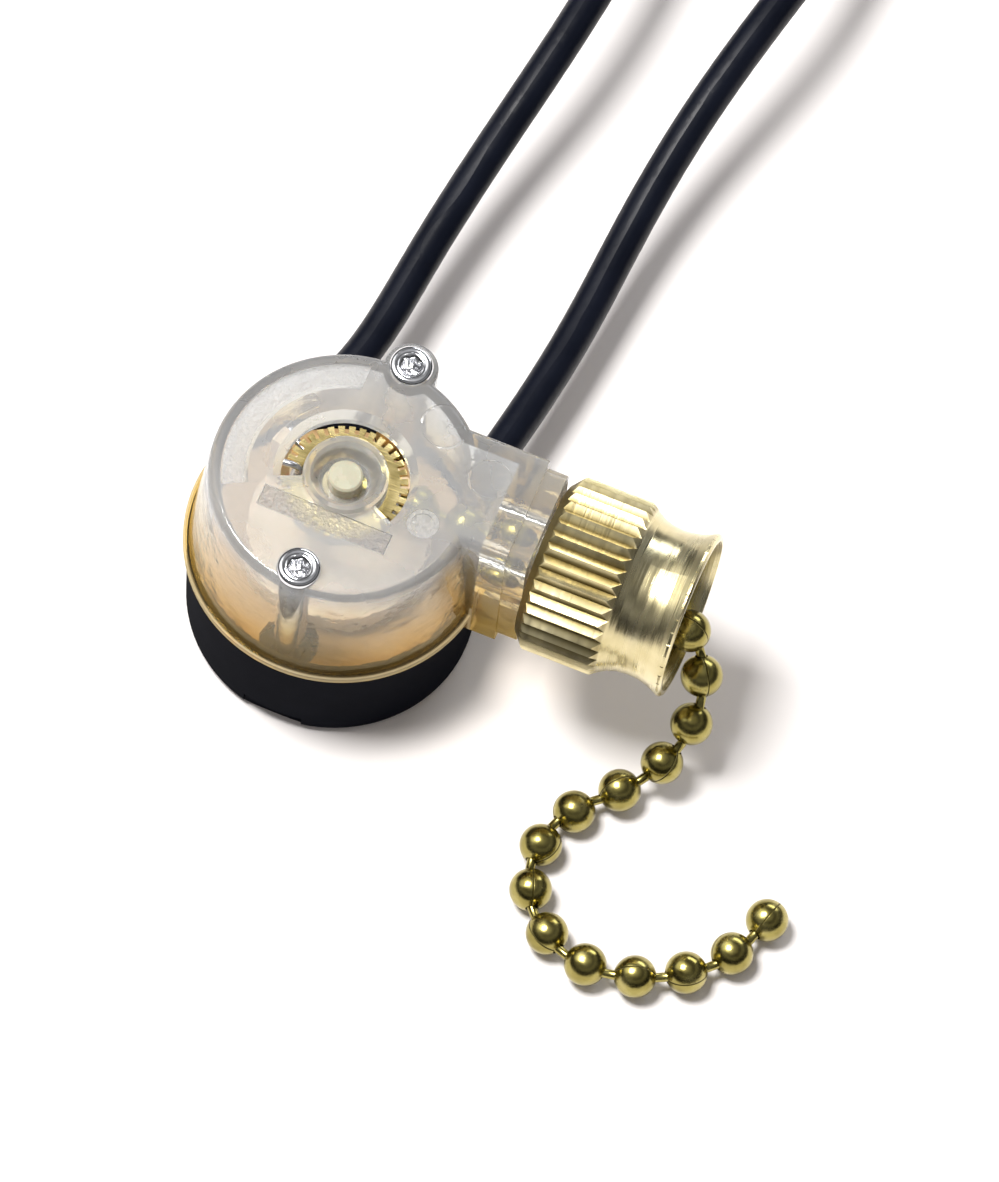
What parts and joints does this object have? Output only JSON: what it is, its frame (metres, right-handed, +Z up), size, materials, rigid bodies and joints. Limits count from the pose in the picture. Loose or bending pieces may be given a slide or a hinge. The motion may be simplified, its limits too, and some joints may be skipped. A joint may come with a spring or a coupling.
{
  "type": "pull cord switch",
  "caption": "Round canopy pull switch: clear cover on a black cup, side neck with a knurled bell nut, a brass ball chain and black leads.",
  "frame": {"origin": "on the rotor's axis at the flat underside of the base", "axes": "+Z up through the clear cover, +X out along the neck towards the nut's mouth, +Y towards the leads"},
  "size_m": [0.0529, 0.1315, 0.0218],
  "materials": {
    "black_plastic": "fine satin moulding",
    "clear_plastic": "clear milky moulding, polished",
    "plated_steel": "bright nickel plate",
    "nylon": "cream nylon",
    "tan_board": "tan phenolic board",
    "contact_brass": "stamped brass",
    "lead_insulation": "glossy black insulation",
    "tinned_copper": "bare copper",
    "amber_plastic": "amber moulding",
    "dark_plastic": "brown moulding",
    "spring_steel": "drawn spring wire",
    "nut_brass": "turned and knurled, clear lacquer",
    "chain_brass": "polished bead chain"
  },
  "bodies": {
    "housing": {"base": "black_plastic", "cover": "clear_plastic", "rivets": "plated_steel", "axle_pin": "nylon", "insulating_disc": "tan_board", "terminal_a": "contact_brass", "terminal_b": "contact_brass", "lead_jacket_a": "lead_insulation", "lead_jacket_b": "lead_insulation", "conductor_a": "tinned_copper", "conductor_b": "tinned_copper", "rotor_spring": "spring_steel", "return_spring": "spring_steel", "toothed_ring": "contact_brass"},
    "chain_pull": {"chain_slider": "contact_brass", "neck_beads": "chain_brass", "neck_links": "chain_brass", "mouth_bead_1": "chain_brass", "mouth_bead_2": "chain_brass", "mouth_link_1": "chain_brass", "mouth_link_2": "chain_brass"},
    "drive_wheel": {"drive_wheel": "amber_plastic"},
    "ratchet_rotor": {"ratchet_rotor": "dark_plastic", "rotor_contact": "tinned_copper"},
    "knurled_nut": {"knurled_nut": "nut_brass"},
    "link_01": {"link_01": "chain_brass"},
    "bead_01": {"bead_01": "chain_brass"},
    "link_02": {"link_02": "chain_brass"},
    "bead_02": {"bead_02": "chain_brass"},
    "link_03": {"link_03": "chain_brass"},
    "bead_03": {"bead_03": "chain_brass"},
    "link_04": {"link_04": "chain_brass"},
    "bead_04": {"bead_04": "chain_brass"},
    "link_05": {"link_05": "chain_brass"},
    "bead_05": {"bead_05": "chain_brass"},
    "link_06": {"link_06": "chain_brass"},
    "bead_06": {"bead_06": "chain_brass"},
    "link_07": {"link_07": "chain_brass"},
    "bead_07": {"bead_07": "chain_brass"},
    "link_08": {"link_08": "chain_brass"},
    "bead_08": {"bead_08": "chain_brass"},
    "link_09": {"link_09": "chain_brass"},
    "bead_09": {"bead_09": "chain_brass"},
    "link_10": {"link_10": "chain_brass"},
    "bead_10": {"bead_10": "chain_brass"},
    "link_11": {"link_11": "chain_brass"},
    "bead_11": {"bead_11": "chain_brass"},
    "link_12": {"link_12": "chain_brass"},
    "bead_12": {"bead_12": "chain_brass"},
    "link_13": {"link_13": "chain_brass"},
    "bead_13": {"bead_13": "chain_brass"}
  },
  "joints": [
    {"name": "chain_pull_slide", "type": "slide", "parent": "housing", "child": "chain_pull", "axis": [1, 0, 0], "range_m": [0, 0.00574], "stiffness_N_per_m": 350, "springref_m": -0.004},
    {"name": "drive_wheel_turn", "type": "hinge", "parent": "housing", "child": "drive_wheel", "pos_m": [0, 0, 0.0111], "axis": [0, 0, 1], "range_deg": [-94, 2], "deforming": ["return_spring"]},
    {"name": "ratchet_rotor_turn", "type": "hinge", "parent": "housing", "child": "ratchet_rotor", "pos_m": [0, 0, 0.0056], "axis": [0, 0, 1], "range_deg": [-94, 2]},
    {"name": "nut_turn", "type": "hinge", "parent": "housing", "child": "knurled_nut", "pos_m": [0.021, 0.00275, 0.0145], "axis": [1, 0, 0], "continuous": true},
    {"name": "link_01_swing", "type": "hinge", "parent": "chain_pull", "child": "link_01", "pos_m": [0.02775, 0.00296, 0.00971], "axis": [0.5218, -0.5039, 0.6884], "range_deg": [-2.5, 37.1]},
    {"name": "bead_01_tip", "type": "hinge", "parent": "link_01", "child": "bead_01", "pos_m": [0.02819, 0.00253, 0.00906], "axis": [0.6947, 0.7193, 0], "range_deg": [-14.1, 6]},
    {"name": "link_02_swing", "type": "hinge", "parent": "bead_01", "child": "link_02", "pos_m": [0.02917, 0.00057, 0.00708], "axis": [-0.0996, 0.5649, -0.8192], "range_deg": [-32.5, 8.3]},
    {"name": "bead_02_tip", "type": "hinge", "parent": "link_02", "child": "bead_02", "pos_m": [0.02929, -0.00016, 0.00656], "axis": [-0.9848, -0.1736, 0], "range_deg": [-12, 23.9]},
    {"name": "link_03_swing", "type": "hinge", "parent": "bead_02", "child": "link_03", "pos_m": [0.02903, -0.00241, 0.00468], "axis": [-0.2828, -0.6064, 0.7431], "range_deg": [-8, 36]},
    {"name": "bead_03_tip", "type": "hinge", "parent": "link_03", "child": "bead_03", "pos_m": [0.02875, -0.00302, 0.00407], "axis": [0.9063, -0.4226, 0], "range_deg": [-12.9, 28.6]},
    {"name": "link_04_swing", "type": "hinge", "parent": "bead_03", "child": "link_04", "pos_m": [0.02739, -0.00505, 0.00243], "axis": [0.2773, 0.319, -0.9063], "range_deg": [-26.1, 14.1]},
    {"name": "bead_04_tip", "type": "hinge", "parent": "link_04", "child": "bead_04", "pos_m": [0.02685, -0.00567, 0.00205], "axis": [-0.7547, 0.6561, 0], "range_deg": [-35.7, 7.8]},
    {"name": "link_05_swing", "type": "hinge", "parent": "bead_04", "child": "link_05", "pos_m": [0.02483, -0.00775, 0.00149], "axis": [0.0383, 0.0357, 0.9986], "range_deg": [-14.1, 19.8]},
    {"name": "bead_05_tip", "type": "hinge", "parent": "link_05", "child": "bead_05", "pos_m": [0.02418, -0.00836, 0.00154], "axis": [0.682, -0.7314, 0], "range_deg": [-18.8, 16]},
    {"name": "link_06_swing", "type": "hinge", "parent": "bead_05", "child": "link_06", "pos_m": [0.02255, -0.01082, 0.00162], "axis": [0, 0, -1], "range_deg": [-8.5, 35.4]},
    {"name": "bead_06_tip", "type": "hinge", "parent": "link_06", "child": "bead_06", "pos_m": [0.02224, -0.01167, 0.00162], "axis": [-0.9397, 0.342, 0], "range_deg": [-16.1, 16.1]},
    {"name": "link_07_swing", "type": "hinge", "parent": "bead_06", "child": "link_07", "pos_m": [0.02198, -0.0146, 0.00162], "axis": [0, 0, 1], "range_deg": [-37, 7]},
    {"name": "bead_07_tip", "type": "hinge", "parent": "link_07", "child": "bead_07", "pos_m": [0.02214, -0.01549, 0.00162], "axis": [0.9848, 0.1736, 0], "range_deg": [-15.6, 15.6]},
    {"name": "link_08_swing", "type": "hinge", "parent": "bead_07", "child": "link_08", "pos_m": [0.02341, -0.01815, 0.00162], "axis": [0, 0, -1], "range_deg": [-6.5, 37.5]},
    {"name": "bead_08_tip", "type": "hinge", "parent": "link_08", "child": "bead_08", "pos_m": [0.024, -0.01883, 0.00162], "axis": [-0.7547, -0.6561, 0], "range_deg": [-16.1, 16.1]},
    {"name": "link_09_swing", "type": "hinge", "parent": "bead_08", "child": "link_09", "pos_m": [0.02645, -0.02048, 0.00162], "axis": [0, 0, 1], "range_deg": [-37, 7]},
    {"name": "bead_09_tip", "type": "hinge", "parent": "link_09", "child": "bead_09", "pos_m": [0.0273, -0.02078, 0.00162], "axis": [0.3256, 0.9455, 0], "range_deg": [-16.1, 16.1]},
    {"name": "link_10_swing", "type": "hinge", "parent": "bead_09", "child": "link_10", "pos_m": [0.03024, -0.02098, 0.00162], "axis": [0, 0, -1], "range_deg": [-7, 37]},
    {"name": "bead_10_tip", "type": "hinge", "parent": "link_10", "child": "bead_10", "pos_m": [0.03112, -0.02081, 0.00162], "axis": [0.1908, -0.9816, 0], "range_deg": [-20.3, 20.3]},
    {"name": "link_11_swing", "type": "hinge", "parent": "bead_10", "child": "link_11", "pos_m": [0.0339, -0.01982, 0.00162], "axis": [0, 0, 1], "range_deg": [-30.5, 13.5]},
    {"name": "bead_11_tip", "type": "hinge", "parent": "link_11", "child": "bead_11", "pos_m": [0.0347, -0.0194, 0.00162], "axis": [-0.4695, 0.8829, 0], "range_deg": [-20.1, 20.1]},
    {"name": "link_12_swing", "type": "hinge", "parent": "bead_11", "child": "link_12", "pos_m": [0.03706, -0.01763, 0.00162], "axis": [0, 0, -1], "range_deg": [-13, 31]},
    {"name": "bead_12_tip", "type": "hinge", "parent": "link_12", "child": "bead_12", "pos_m": [0.03768, -0.01698, 0.00162], "axis": [0.7193, -0.6947, 0], "range_deg": [-17, 17]},
    {"name": "link_13_swing", "type": "hinge", "parent": "bead_12", "child": "link_13", "pos_m": [0.03916, -0.01442, 0.00162], "axis": [0, 0, 1], "range_deg": [-36, 8]},
    {"name": "bead_13_tip", "type": "hinge", "parent": "link_13", "child": "bead_13", "pos_m": [0.0394, -0.01356, 0.00162], "axis": [-0.9613, 0.2756, 0], "range_deg": [-22, 22]}
  ],
  "couplings": [
    {"joint": "drive_wheel_turn", "follows": "chain_pull_slide", "rad_per_m": -281.1},
    {"joint": "ratchet_rotor_turn", "follows": "chain_pull_slide", "rad_per_m": -281.1}
  ]
}
